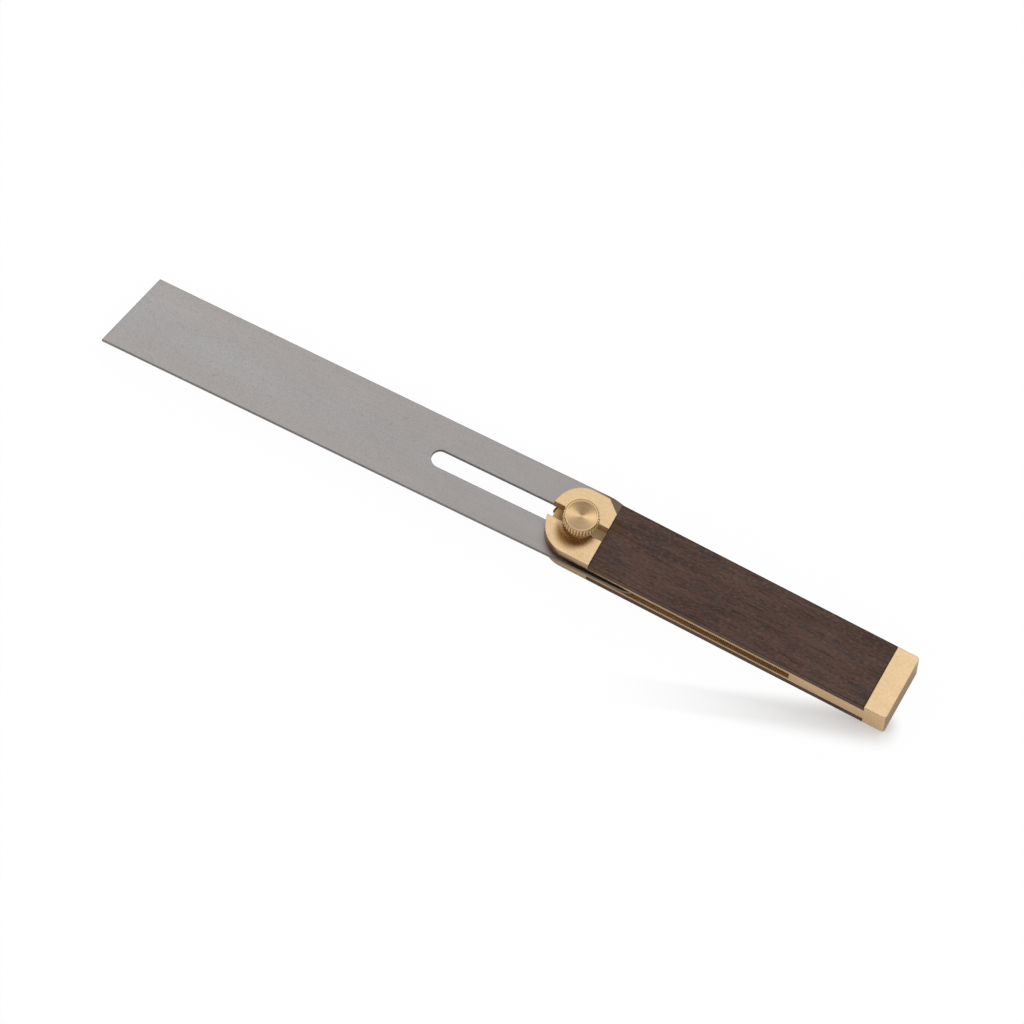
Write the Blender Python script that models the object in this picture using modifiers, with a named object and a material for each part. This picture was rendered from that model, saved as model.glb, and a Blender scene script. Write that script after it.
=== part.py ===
"""Sliding bevel: a slotted steel blade clamped between the ears of a brass and wood stock.

Metres, +Z up. The origin is the centre of the stock's underside, +X points along the stock from the
pivot to the butt, and the blade's tip points to -X. -Y is the near side, +Y the far side.
"""
import math

import bmesh
import bpy

# Stock: one brass bar with ears at the front and a butt block behind
STOCK_LENGTH = 0.1200
STOCK_WIDTH = 0.0222
STOCK_HEIGHT = 0.0124
STOCK_EDGE_BREAK = 0.0003
PIVOT_SETBACK = 0.0103

# Front outline of the ears: a flat nose arc that runs into two tighter shoulder arcs
NOSE_RADIUS = 0.0140
SHOULDER_RADIUS = 0.0090
BUTT_CORNER_RADIUS = 0.0009

# Slot for the blade, open at the front and along both sides
BLADE_SLOT_HEIGHT = 0.0040
BLADE_SLOT_REACH = 0.0770

# Wood scales, let into the top and the underside between the ears and the butt
SCALE_START = 0.0084
SCALE_LENGTH = 0.0939
SCALE_THICKNESS = 0.0028
SCALE_SEAM = 0.0001

# Notch in the ears for the bolt, and the cut-off far corner in front of the scales
NOTCH_WIDTH = 0.0046
CORNER_CUT_LENGTH = 0.0042
CORNER_CUT_DEPTH = 0.0035

# Recess for the bolt's square head in the lower ear
HEAD_WIDTH = 0.0080
HEAD_HEIGHT = 0.0020
HEAD_SIDE_CLEARANCE = 0.0002
HEAD_DEPTH_BELOW_FACE = 0.0002
HEAD_EDGE_BREAK = 0.0004

# Blade
BLADE_LENGTH = 0.1778
BLADE_WIDTH = 0.0254
BLADE_THICKNESS = 0.0016
BLADE_TIP_ANGLE = math.radians(15.2)
BLADE_TAIL_REACH = 0.0262
BLADE_TAIL_ANGLE = math.radians(31.0)
SLIDE_SLOT_WIDTH = 0.0057
SLIDE_SLOT_FRONT = 0.0472
SLIDE_SLOT_REAR = 0.0030
BLADE_REST_ANGLE = math.radians(1.5)
BLADE_SIDE_PLAY = 0.00065

# Friction washers on both sides of the blade
WASHER_DIAMETER = 0.0180
WASHER_HOLE_DIAMETER = 0.0044
LOWER_WASHER_THICKNESS = 0.0013
SEAT_CLEARANCE = 0.00015

# Clamp bolt
BOLT_DIAMETER = 0.0040
BOLT_END_CHAMFER = 0.0004
BOLT_GRIP_IN_NUT = 0.0029

# Washer under the nut
NUT_WASHER_DIAMETER = 0.0090
NUT_WASHER_THICKNESS = 0.0010

# Thumb nut
NUT_DIAMETER = 0.0112
NUT_HEIGHT = 0.0051
NUT_RIM_DIAMETER = 0.0100
NUT_RIM_DROP = 0.0006
NUT_DISH_DIAMETER = 0.0091
NUT_DISH_DEPTH = 0.0008
NUT_FOOT_CHAMFER = 0.0016
NUT_HOLE_DIAMETER = 0.0043
NUT_HOLE_DEPTH = 0.0032
KNURL_COUNT = 34
KNURL_DEPTH = 0.00034

# Cuts run past the faces they open by this much
CUT_OVERRUN = 0.0020

# Facets
ARC_STEPS = 16
CORNER_STEPS = 5
ROUND_STEPS = 48
MERGE_DISTANCE = 0.000001

# Sizes that follow from the ones above
STOCK_FRONT_X = -STOCK_LENGTH / 2
STOCK_BUTT_X = STOCK_LENGTH / 2
PIVOT_X = STOCK_FRONT_X + PIVOT_SETBACK
HALF_WIDTH = STOCK_WIDTH / 2
MID_HEIGHT = STOCK_HEIGHT / 2
SLOT_FLOOR_Z = MID_HEIGHT - BLADE_SLOT_HEIGHT / 2
SLOT_ROOF_Z = MID_HEIGHT + BLADE_SLOT_HEIGHT / 2
SCALE_FRONT_X = PIVOT_X + SCALE_START
SCALE_REAR_X = SCALE_FRONT_X + SCALE_LENGTH
TOP_SCALE_FLOOR_Z = STOCK_HEIGHT - SCALE_THICKNESS
BLADE_FLOOR_Z = SLOT_FLOOR_Z + LOWER_WASHER_THICKNESS + 2 * SEAT_CLEARANCE
UPPER_WASHER_FLOOR_Z = BLADE_FLOOR_Z + BLADE_THICKNESS + SEAT_CLEARANCE
UPPER_WASHER_THICKNESS = SLOT_ROOF_Z - SEAT_CLEARANCE - UPPER_WASHER_FLOOR_Z
HEAD_RECESS_DEPTH = HEAD_DEPTH_BELOW_FACE + HEAD_HEIGHT + SEAT_CLEARANCE
NUT_WASHER_FLOOR_Z = STOCK_HEIGHT + SEAT_CLEARANCE
NUT_FLOOR_Z = NUT_WASHER_FLOOR_Z + NUT_WASHER_THICKNESS + SEAT_CLEARANCE

BRASS = (0.72, 0.52, 0.28)
WOOD = (0.085, 0.048, 0.034)
STEEL = (0.38, 0.37, 0.36)


def clear_scene():
    """Removes what a new file holds."""
    for obj in list(bpy.data.objects):
        bpy.data.objects.remove(obj, do_unlink=True)


def new_collection(name):
    """Makes a collection under the scene's own."""
    collection = bpy.data.collections.new(name)
    bpy.context.scene.collection.children.link(collection)
    return collection


def make_material(name, color, roughness, metallic):
    """Makes one part's own finish."""
    material = bpy.data.materials.new(name)
    material.use_nodes = True
    shader = material.node_tree.nodes["Principled BSDF"]
    shader.inputs["Base Color"].default_value = (*color, 1.0)
    shader.inputs["Roughness"].default_value = roughness
    shader.inputs["Metallic"].default_value = metallic
    return material


def link_part(obj, collection, color, roughness, metallic):
    """Puts a part in its collection and gives it its finish."""
    for other in list(obj.users_collection):
        other.objects.unlink(obj)
    collection.objects.link(obj)
    obj.data.materials.clear()
    obj.data.materials.append(make_material(obj.name, color, roughness, metallic))
    return obj


def link_cutter(obj, collection):
    """Puts a cutter in the cutters' collection, out of the render."""
    for other in list(obj.users_collection):
        other.objects.unlink(obj)
    collection.objects.link(obj)
    obj.hide_render = True
    obj.display_type = "WIRE"
    return obj


def make_empty(name, location, collection, turn=0.0, parent=None):
    """Marks a joint's axis."""
    empty = bpy.data.objects.new(name, None)
    empty.empty_display_size = BOLT_DIAMETER
    empty.location = location
    empty.rotation_euler[2] = turn
    empty.parent = parent
    collection.objects.link(empty)
    return empty


def arc_points(center_x, center_y, radius, start, end, steps):
    """Points along an arc, both ends included."""
    points = []
    for step in range(steps + 1):
        angle = start + (end - start) * step / steps
        points.append((center_x + radius * math.cos(angle), center_y + radius * math.sin(angle)))
    return points


def flat_piece(name, outlines, floor_z, thickness):
    """A plate from closed outlines; an outline inside another is a hole."""
    curve = bpy.data.curves.new(name, "CURVE")
    curve.dimensions = "2D"
    curve.fill_mode = "BOTH"
    curve.extrude = thickness / 2
    for outline in outlines:
        spline = curve.splines.new("POLY")
        spline.points.add(len(outline) - 1)
        for point, (x, y) in zip(spline.points, outline):
            point.co = (x, y, 0.0, 1.0)
        spline.use_cyclic_u = True
    guide = bpy.data.objects.new(name + "_outline", curve)
    guide.location.z = floor_z + thickness / 2
    bpy.context.scene.collection.objects.link(guide)
    bpy.context.view_layer.update()
    evaluated = guide.evaluated_get(bpy.context.evaluated_depsgraph_get())
    mesh = bpy.data.meshes.new_from_object(evaluated)
    mesh.name = name
    weld_mesh(mesh)
    piece = bpy.data.objects.new(name, mesh)
    piece.matrix_world = guide.matrix_world
    bpy.context.scene.collection.objects.link(piece)
    bpy.data.objects.remove(guide, do_unlink=True)
    return piece


def weld_mesh(mesh):
    """Joins a mesh's caps to its walls and turns its faces outwards."""
    work = bmesh.new()
    work.from_mesh(mesh)
    bmesh.ops.remove_doubles(work, verts=work.verts, dist=MERGE_DISTANCE)
    bmesh.ops.recalc_face_normals(work, faces=work.faces)
    work.to_mesh(mesh)
    work.free()


def box_piece(name, low, high):
    """A box between two corners."""
    center = [(a + b) / 2 for a, b in zip(low, high)]
    bpy.ops.mesh.primitive_cube_add(size=1, location=center)
    piece = bpy.context.active_object
    piece.name = name
    piece.scale = [b - a for a, b in zip(low, high)]
    bpy.ops.object.transform_apply(location=False, rotation=False, scale=True)
    return piece


def turned_piece(name, profile, closed=False):
    """A profile of (radius, height) turned about Z; it runs down its outer side."""
    mesh = bpy.data.meshes.new(name)
    edges = [(index, index + 1) for index in range(len(profile) - 1)]
    if closed:
        edges.append((len(profile) - 1, 0))
    mesh.from_pydata([(radius, 0.0, height) for radius, height in profile], edges, [])
    piece = bpy.data.objects.new(name, mesh)
    bpy.context.scene.collection.objects.link(piece)
    turn = piece.modifiers.new("Turn", "SCREW")
    turn.steps = ROUND_STEPS
    turn.render_steps = ROUND_STEPS
    turn.use_merge_vertices = True
    turn.merge_threshold = MERGE_DISTANCE
    return piece


def cut_with(piece, cutter, operation="DIFFERENCE"):
    """Adds a Boolean of one cutter."""
    modifier = piece.modifiers.new(cutter.name, "BOOLEAN")
    modifier.operation = operation
    modifier.solver = "EXACT"
    modifier.object = cutter
    return modifier


def break_edges(piece, width):
    """Bevels the sharp edges."""
    modifier = piece.modifiers.new("Edge break", "BEVEL")
    modifier.width = width
    modifier.segments = 1
    modifier.limit_method = "ANGLE"
    modifier.angle_limit = math.radians(40)
    return modifier


def smooth_round(piece):
    """Shades round walls smooth and keeps the edges sharp."""
    piece.data.shade_smooth()
    if piece.type == "MESH" and piece.data.polygons:
        piece.data.set_sharp_from_angle(angle=math.radians(30))


def stock_outline():
    """The bar seen from above: nose, shoulders, straight sides and a butt with eased corners."""
    nose_x = STOCK_FRONT_X + NOSE_RADIUS
    shoulder_y = HALF_WIDTH - SHOULDER_RADIUS
    reach = math.sqrt((NOSE_RADIUS - SHOULDER_RADIUS) ** 2 - shoulder_y**2)
    shoulder_x = nose_x - reach
    meet = math.atan2(shoulder_y, reach)
    butt_x = STOCK_BUTT_X - BUTT_CORNER_RADIUS
    butt_y = HALF_WIDTH - BUTT_CORNER_RADIUS
    quarter = math.pi / 2
    far_shoulder = arc_points(shoulder_x, shoulder_y, SHOULDER_RADIUS, quarter, math.pi - meet, ARC_STEPS)
    nose = arc_points(nose_x, 0.0, NOSE_RADIUS, math.pi - meet, math.pi + meet, ARC_STEPS)
    near_shoulder = arc_points(
        shoulder_x, -shoulder_y, SHOULDER_RADIUS, math.pi + meet, math.pi + quarter, ARC_STEPS
    )
    near_corner = arc_points(butt_x, -butt_y, BUTT_CORNER_RADIUS, -quarter, 0.0, CORNER_STEPS)
    far_corner = arc_points(butt_x, butt_y, BUTT_CORNER_RADIUS, 0.0, quarter, CORNER_STEPS)
    return far_shoulder + nose[1:-1] + near_shoulder + near_corner + far_corner


def make_blank(name):
    """The bar before milling, with its long edges broken."""
    blank = flat_piece(name, [stock_outline()], 0.0, STOCK_HEIGHT)
    break_edges(blank, STOCK_EDGE_BREAK)
    return blank


def scale_box(name, cutters, floor_z, roof_z, inset):
    """The space of one scale, drawn in from the brass by the seam."""
    low = (SCALE_FRONT_X + inset, -HALF_WIDTH - CUT_OVERRUN, floor_z)
    high = (SCALE_REAR_X - inset, HALF_WIDTH + CUT_OVERRUN, roof_z)
    return link_cutter(box_piece(name, low, high), cutters)


def make_stock(parts, cutters):
    """The brass bar with its slot, notch, scale seats, cut corner and head recess."""
    stock = make_blank("brass_stock")
    front = STOCK_FRONT_X - CUT_OVERRUN
    side = HALF_WIDTH + CUT_OVERRUN
    top = STOCK_HEIGHT + CUT_OVERRUN
    blade_slot = box_piece(
        "blade_slot_cut", (front, -side, SLOT_FLOOR_Z), (PIVOT_X + BLADE_SLOT_REACH, side, SLOT_ROOF_Z)
    )
    notch = box_piece(
        "notch_cut", (front, -NOTCH_WIDTH / 2, -CUT_OVERRUN), (SCALE_FRONT_X, NOTCH_WIDTH / 2, top)
    )
    recess_side = HEAD_WIDTH / 2 + HEAD_SIDE_CLEARANCE
    recess_low = (front, -recess_side, -CUT_OVERRUN)
    recess_high = (PIVOT_X + recess_side, recess_side, HEAD_RECESS_DEPTH)
    head_recess = box_piece("head_recess_cut", recess_low, recess_high)
    corner_outline = [
        (SCALE_FRONT_X, HALF_WIDTH - CORNER_CUT_DEPTH),
        (SCALE_FRONT_X, side),
        (SCALE_FRONT_X - CORNER_CUT_LENGTH * (CORNER_CUT_DEPTH + CUT_OVERRUN) / CORNER_CUT_DEPTH, side),
    ]
    corner = flat_piece("corner_cut", [corner_outline], -CUT_OVERRUN, STOCK_HEIGHT + 2 * CUT_OVERRUN)
    for cutter in (blade_slot, notch, head_recess, corner):
        cut_with(stock, link_cutter(cutter, cutters))
    cut_with(stock, scale_box("top_seat_cut", cutters, TOP_SCALE_FLOOR_Z, top, 0.0))
    cut_with(stock, scale_box("bottom_seat_cut", cutters, -CUT_OVERRUN, SCALE_THICKNESS, 0.0))
    return link_part(stock, parts, BRASS, 0.35, 1.0)


def make_scales(parts, cutters):
    """Two wood plates, sawn from the same blank so that they end flush with the brass."""
    top = STOCK_HEIGHT + CUT_OVERRUN
    top_space = scale_box("top_scale_space", cutters, TOP_SCALE_FLOOR_Z + SCALE_SEAM, top, SCALE_SEAM)
    bottom_space = scale_box(
        "bottom_scale_space", cutters, -CUT_OVERRUN, SCALE_THICKNESS - SCALE_SEAM, SCALE_SEAM
    )
    for name, space in (("top_scale", top_space), ("bottom_scale", bottom_space)):
        scale = make_blank(name)
        cut_with(scale, space, "INTERSECT")
        link_part(scale, parts, WOOD, 0.5, 0.0)


def blade_outline():
    """The blade in its own frame: bolt at the origin, tip to -X, round tail longer on the near side."""
    half = BLADE_WIDTH / 2
    tip_x = BLADE_TAIL_REACH - BLADE_LENGTH
    slant = half * math.tan(BLADE_TIP_ANGLE)
    tail_x = BLADE_TAIL_REACH - half / math.cos(BLADE_TAIL_ANGLE)
    drawn_out = math.tan(BLADE_TAIL_ANGLE)
    round_tail = arc_points(tail_x, 0.0, half, -math.pi / 2, math.pi / 2, 2 * ARC_STEPS)
    tail = [(x - y * drawn_out, y) for x, y in round_tail]
    return [(tip_x + slant, half), (tip_x - slant, -half)] + tail


def slide_slot_outline():
    """The slot that the bolt runs in, with round ends."""
    radius = SLIDE_SLOT_WIDTH / 2
    front = arc_points(-SLIDE_SLOT_FRONT, 0.0, radius, math.pi / 2, 3 * math.pi / 2, ARC_STEPS)
    rear = arc_points(SLIDE_SLOT_REAR, 0.0, radius, -math.pi / 2, math.pi / 2, ARC_STEPS)
    return front + rear


def make_blade(parts, swing):
    """The steel blade, a little open and lying against the bolt's far side."""
    blade = flat_piece("blade", [blade_outline(), slide_slot_outline()], 0.0, BLADE_THICKNESS)
    blade.parent = swing
    blade.location = (0.0, BLADE_SIDE_PLAY, BLADE_FLOOR_Z + BLADE_THICKNESS / 2)
    return link_part(blade, parts, STEEL, 0.3, 1.0)


def ring_profile(outer, inner, thickness):
    """A washer's section, down its outer side first."""
    return [(outer, thickness), (outer, 0.0), (inner, 0.0), (inner, thickness)]


def make_washer(name, diameter, hole, thickness, floor_z, parent, parts, color):
    """A flat washer about the pivot."""
    washer = turned_piece(name, ring_profile(diameter / 2, hole / 2, thickness), closed=True)
    washer.parent = parent
    washer.location.z = floor_z
    return link_part(washer, parts, color, 0.4, 1.0)


def make_bolt(parts, cutters, pivot):
    """The clamp bolt: a square head in the lower ear, and a shank up into the nut."""
    head = HEAD_WIDTH / 2
    head_floor = HEAD_DEPTH_BELOW_FACE
    head_roof = head_floor + HEAD_HEIGHT
    bolt = box_piece("clamp_bolt", (-head, -head, head_floor), (head, head, head_roof))
    break_edges(bolt, HEAD_EDGE_BREAK)
    radius = BOLT_DIAMETER / 2
    end_z = NUT_FLOOR_Z + BOLT_GRIP_IN_NUT
    shank_floor = head_roof - HEAD_HEIGHT / 2
    profile = [
        (0.0, end_z),
        (radius - BOLT_END_CHAMFER, end_z),
        (radius, end_z - BOLT_END_CHAMFER),
        (radius, shank_floor),
        (0.0, shank_floor),
    ]
    shank = link_cutter(turned_piece("shank_shape", profile), cutters)
    cut_with(bolt, shank, "UNION")
    for piece in (bolt, shank):
        piece.parent = pivot
    return link_part(bolt, parts, BRASS, 0.35, 1.0)


def knurl_outline():
    """Straight ribs round the nut: a ridge, then a groove."""
    points = []
    count = 2 * KNURL_COUNT
    for index in range(count):
        radius = NUT_DIAMETER / 2 - (KNURL_DEPTH if index % 2 else 0.0)
        angle = 2 * math.pi * index / count
        points.append((radius * math.cos(angle), radius * math.sin(angle)))
    return points


def make_nut(parts, cutters, nut_axis):
    """The thumb nut: a knurled drum with a dished top and a blind hole from below."""
    nut = flat_piece("thumb_nut", [knurl_outline()], 0.0, NUT_HEIGHT)
    outer = NUT_DIAMETER / 2
    envelope_profile = [
        (0.0, NUT_HEIGHT - NUT_DISH_DEPTH),
        (NUT_DISH_DIAMETER / 2, NUT_HEIGHT),
        (NUT_RIM_DIAMETER / 2, NUT_HEIGHT),
        (outer, NUT_HEIGHT - NUT_RIM_DROP),
        (outer, NUT_FOOT_CHAMFER),
        (outer - NUT_FOOT_CHAMFER, 0.0),
        (NUT_HOLE_DIAMETER / 2, 0.0),
        (NUT_HOLE_DIAMETER / 2, NUT_HOLE_DEPTH),
        (0.0, NUT_HOLE_DEPTH),
    ]
    envelope = link_cutter(turned_piece("nut_envelope", envelope_profile), cutters)
    cut_with(nut, envelope, "INTERSECT")
    for piece in (nut, envelope):
        piece.parent = nut_axis
    return link_part(nut, parts, BRASS, 0.3, 1.0)


def build():
    """Makes every part and places it about its joint's axis."""
    clear_scene()
    parts = new_collection("sliding_bevel")
    cutters = new_collection("cutters")
    pivot = make_empty("pivot_axis", (PIVOT_X, 0.0, 0.0), parts)
    swing = make_empty("blade_swing_axis", (0.0, 0.0, 0.0), parts, BLADE_REST_ANGLE, pivot)
    nut_axis = make_empty("nut_axis", (0.0, 0.0, NUT_FLOOR_Z), parts, 0.0, pivot)
    make_stock(parts, cutters)
    make_scales(parts, cutters)
    make_blade(parts, swing)
    washer = (WASHER_DIAMETER, WASHER_HOLE_DIAMETER)
    lower_floor = SLOT_FLOOR_Z + SEAT_CLEARANCE
    make_washer("lower_washer", *washer, LOWER_WASHER_THICKNESS, lower_floor, swing, parts, BRASS)
    make_washer("upper_washer", *washer, UPPER_WASHER_THICKNESS, UPPER_WASHER_FLOOR_Z, swing, parts, BRASS)
    make_bolt(parts, cutters, pivot)
    nut_washer = (NUT_WASHER_DIAMETER, WASHER_HOLE_DIAMETER, NUT_WASHER_THICKNESS)
    make_washer("nut_washer", *nut_washer, NUT_WASHER_FLOOR_Z, pivot, parts, BRASS)
    make_nut(parts, cutters, nut_axis)
    for obj in parts.objects:
        if obj.type == "MESH":
            smooth_round(obj)


build()
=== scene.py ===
"""Sliding bevel, dressed: its finished pieces, the finish of every surface, the camera and the light.

Metres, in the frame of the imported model. +X runs along the stock from the pivot to the butt, -Y is the
near side, +Z is up out of the face that carries the thumb nut.
"""

import math

import bmesh
import bpy
from mathutils import Matrix, Vector


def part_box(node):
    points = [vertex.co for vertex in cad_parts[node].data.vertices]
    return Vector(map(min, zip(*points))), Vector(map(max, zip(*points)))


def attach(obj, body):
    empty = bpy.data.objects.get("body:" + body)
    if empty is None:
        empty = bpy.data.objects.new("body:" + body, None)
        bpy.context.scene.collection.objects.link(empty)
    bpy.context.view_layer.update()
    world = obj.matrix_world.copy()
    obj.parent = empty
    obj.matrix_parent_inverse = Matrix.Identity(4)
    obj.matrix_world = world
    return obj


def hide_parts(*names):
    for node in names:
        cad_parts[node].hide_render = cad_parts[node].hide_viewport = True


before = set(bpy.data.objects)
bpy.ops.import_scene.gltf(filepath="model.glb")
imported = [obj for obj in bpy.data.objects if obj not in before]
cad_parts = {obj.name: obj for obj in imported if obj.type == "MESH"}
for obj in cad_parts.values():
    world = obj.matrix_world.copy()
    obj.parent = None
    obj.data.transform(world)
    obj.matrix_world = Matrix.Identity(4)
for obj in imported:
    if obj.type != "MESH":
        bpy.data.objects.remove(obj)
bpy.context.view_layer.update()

MM = 0.001

# Places read from the frame
nut_low, nut_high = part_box("thumb_nut")
STOCK_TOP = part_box("brass_stock")[1].z
PIVOT = Vector(((nut_low.x + nut_high.x) / 2, (nut_low.y + nut_high.y) / 2, 0.0))
BLADE_ANGLE = math.radians(1.5)

# Edges eased by hand after milling
STOCK_EDGE = 0.12 * MM
BLADE_EDGE = 0.06 * MM
SCALE_EDGE = 0.10 * MM
EDGE_SEGMENTS = 2
FLAT_NORMAL_WEIGHT = 100
EASED_ANGLE = math.radians(38)
MERGE_DISTANCE = 0.001 * MM
FLAT_ANGLE = math.radians(0.2)

# Thumb nut
RIB_COUNT = 34
RIB_STEPS = 10
RIB_DEPTH = 0.34 * MM
CHAMFER_WIDTH = 0.46 * MM
CHAMFER_HEIGHT = 0.54 * MM
RIM_GROOVE_WIDTH = 0.07 * MM
RIM_GROOVE_DEPTH = 0.07 * MM
RIM_LIFT = 0.13 * MM
RIM_DROP = 0.60 * MM
DISH_RADIUS = 4.55 * MM
DISH_STEP = 0.10 * MM
DISH_DEPTH = 0.75 * MM
DISH_RINGS = 7
CENTER_MARK_RADIUS = 0.12 * MM
NUT_FOOT_CHAMFER = 1.60 * MM
NUT_HOLE_RADIUS = 2.15 * MM
NUT_HOLE_DEPTH = 3.20 * MM
NUT_SMOOTH_ANGLE = math.radians(28)

# Washers
WASHER_STEPS = 128
WASHER_HOLE_RADIUS = 2.20 * MM
WASHER_EDGE = 0.08 * MM

# Clamp bolt
SHANK_RADIUS = 2.00 * MM
SHANK_STEPS = 48
HEAD_WIDTH = 8.00 * MM
HEAD_HEIGHT = 2.00 * MM
HEAD_EDGE = 0.40 * MM
HEAD_EDGE_SEGMENTS = 3
THREAD_START = 8.30 * MM
THREAD_PITCH = 0.70 * MM
THREAD_DEPTH = 0.34 * MM
THREAD_ROWS = 10
SHANK_END_CHAMFER = 0.40 * MM
BOLT_SMOOTH_ANGLE = math.radians(30)

# A face is level when its normal's part along Z is more than this
LEVEL = 0.9

# In the finishes, a pair of places or of a pattern's values is where a tone begins and where it is full, and a
# pair of roughnesses is the least and the most

# Brass finish
BRASS_LIGHT = (0.850, 0.612, 0.355, 1.0)
BRASS_TARNISHED = (0.800, 0.565, 0.315, 1.0)
BRASS_DEEP = (0.600, 0.410, 0.205, 1.0)
BRASS_PALE = (0.930, 0.725, 0.470, 1.0)
BRASS_STAIN = (0.270, 0.160, 0.070, 1.0)
BRASS_BRIGHT = (0.930, 0.740, 0.470, 1.0)
BRASS_AT_A_GLANCE = (0.900, 0.800, 0.660, 1.0)
BRASS_LINE_FINENESS = 1900.0
BRASS_MOTTLE_FINENESS = 1300.0
BRASS_EDGE_WIDTH = 0.34 * MM
BRASS_EDGE_RANGE = (0.08, 0.70)
BRASS_EDGE_SHARE = 0.90
BRASS_SPECK_SHARE = 0.10
BRASS_ROUGHNESS = (0.255, 0.290)
BRASS_SCRATCH_ROUGHNESS = 0.08
BRASS_LINE_RELIEF = 0.5
BRASS_SCRATCH_RELIEF = 0.8
BRASS_BUMP = 0.10
BRASS_BUMP_HEIGHT = 0.02 * MM

# Tones laid over the base colour, here and for steel and wood: the pattern that brings one in, the pattern's
# values where it begins and is full, its largest share, and its colour
BRASS_TONES = (
    ("blush", 0.34, 0.66, 1.00, BRASS_TARNISHED),
    ("mottle", 0.46, 0.66, 0.07, BRASS_DEEP),
    ("mottle", 0.52, 0.34, 0.10, BRASS_PALE),
    ("lines", 0.42, 0.66, 0.34, BRASS_PALE),
)

# Painted shade, multiplied with the brass: a little on the ears' end of the stock, more on its sides, less of
# it on the sides toward the butt, and most on its butt end
EARS_SHADE_PAINT = (0.930, 0.925, 0.925, 1.0)
EARS_SHADE_X = (-20.0 * MM, -45.0 * MM)
SIDE_SHADE_PAINT = (0.690, 0.690, 0.760, 1.0)
END_SHADE_PAINT = (0.360, 0.330, 0.240, 1.0)
SIDE_SHADE_FADES_X = (20.0 * MM, 30.0 * MM)
SIDE_SHADE_FADES_BY = 0.5

# Milled notch in the ears and slot through the stock, darkened with painted shade
NOTCH_SHADE_PAINT = (0.620, 0.500, 0.300, 1.0)
NOTCH_SHADE_BEHIND_NUT = (1.000, 1.000, 0.950, 1.0)
NOTCH_Y = (2.42 * MM, 2.34 * MM)
NOTCH_X = (PIVOT.x + 9.2 * MM, PIVOT.x + 8.8 * MM)
NOTCH_SHADE_FADES_X = (PIVOT.x - 5.0 * MM, PIVOT.x + 5.0 * MM)
SLOT_SHADE_PAINT = (0.640, 0.500, 0.360, 1.0)
SLOT_SHADE_DEEP = (0.300, 0.210, 0.120, 1.0)
SLOT_Z = (2.20 * MM, 2.05 * MM)
CUTTER_FEED = 0.62 * MM
CUTTER_PATCHES = 300.0
CUTTER_SHARE = 0.25
CUTTER_RANGE = (0.30, 0.70)
MILLED_ROUGHNESS = 0.58
MILLED_METALLIC = 0.55

# Painted shadow of the nut on the ear: round a patch on its near side, and less close to its axis
NUT_SHADOW_PAINT = (0.300, 0.215, 0.115, 1.0)
NUT_SHADOW_CENTER = (PIVOT.x - 0.7 * MM, PIVOT.y - 3.8 * MM, STOCK_TOP)
NUT_SHADOW_PATCH = (6.6 * MM, 3.6 * MM)
NUT_SHADOW_RING = (5.7 * MM, 6.9 * MM)
NUT_SHADOW_RING_SHARE = 0.35

# Finish of the nut
DISH_DEEP = (0.640, 0.424, 0.208, 1.0)
DISH_PALE = (0.900, 0.645, 0.376, 1.0)
DISH_FINENESS = 5500.0
DISH_ROUGHNESS = (0.22, 0.34)
RIB_CREST = (0.990, 0.740, 0.420, 1.0)
# Painted shade between the ribs and in the line outside the rim
RIB_GROOVE_SHADE = (0.150, 0.078, 0.030, 1.0)
RIB_GROOVE_SHADE_SHARE = 0.58
RIB_ROUGHNESS = 0.5
RIB_WALL = (5.14 * MM, 5.26 * MM)
RIB_BETWEEN = (0.05, -0.75)
RIM_LINE_INNER = (4.98 * MM, 5.04 * MM)
RIM_LINE_OUTER = (5.20 * MM, 5.12 * MM)
RIM_LINE_SHARE = 0.62
# Painted shade on the nut's foot under the ribs, which the ear reflects as the nut's shadow
FOOT_SHADE_PAINT = (0.360, 0.210, 0.090, 1.0)
FOOT_Z = (nut_low.z + NUT_FOOT_CHAMFER + 0.2 * MM, nut_low.z + NUT_FOOT_CHAMFER - 0.4 * MM)

# Finish of the washers, with painted shade at the notch's open end and beside the nut
WASHER_METALLIC = 0.1
WASHER_DULL = (0.980, 0.680, 0.360, 1.0)
WASHER_DULL_LINE = (1.000, 0.860, 0.560, 1.0)
WASHER_FINENESS = 4500.0
WASHER_ROUGHNESS = (0.46, 0.60)
OPEN_END_SHADE = (0.850, 0.760, 0.580, 1.0)
OPEN_END = (3.0 * MM, -3.0 * MM)
BY_NUT_SHADE = (0.460, 0.350, 0.200, 1.0)
BY_NUT_RADIUS = (8.8 * MM, 6.4 * MM)

# What nut and washers share
TURNED_EDGE_WIDTH = 0.16 * MM
TURNED_EDGE_SHARE = 0.5
TURNED_SPECK_SHARE = 0.08
RING_RANGE = (0.28, 0.72)
TURNED_ANISOTROPY = 0.8
QUARTER_TURN = 0.25
TURNED_BUMP = 0.3
TURNED_BUMP_HEIGHT = 0.012 * MM

# Finish of the blade
STEEL_WARM = (0.491, 0.463, 0.456, 1.0)
STEEL_BLUE = (0.472, 0.467, 0.473, 1.0)
STEEL_PALE = (0.601, 0.580, 0.574, 1.0)
STEEL_DEEP = (0.367, 0.347, 0.337, 1.0)
STEEL_STAIN = (0.130, 0.115, 0.105, 1.0)
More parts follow.
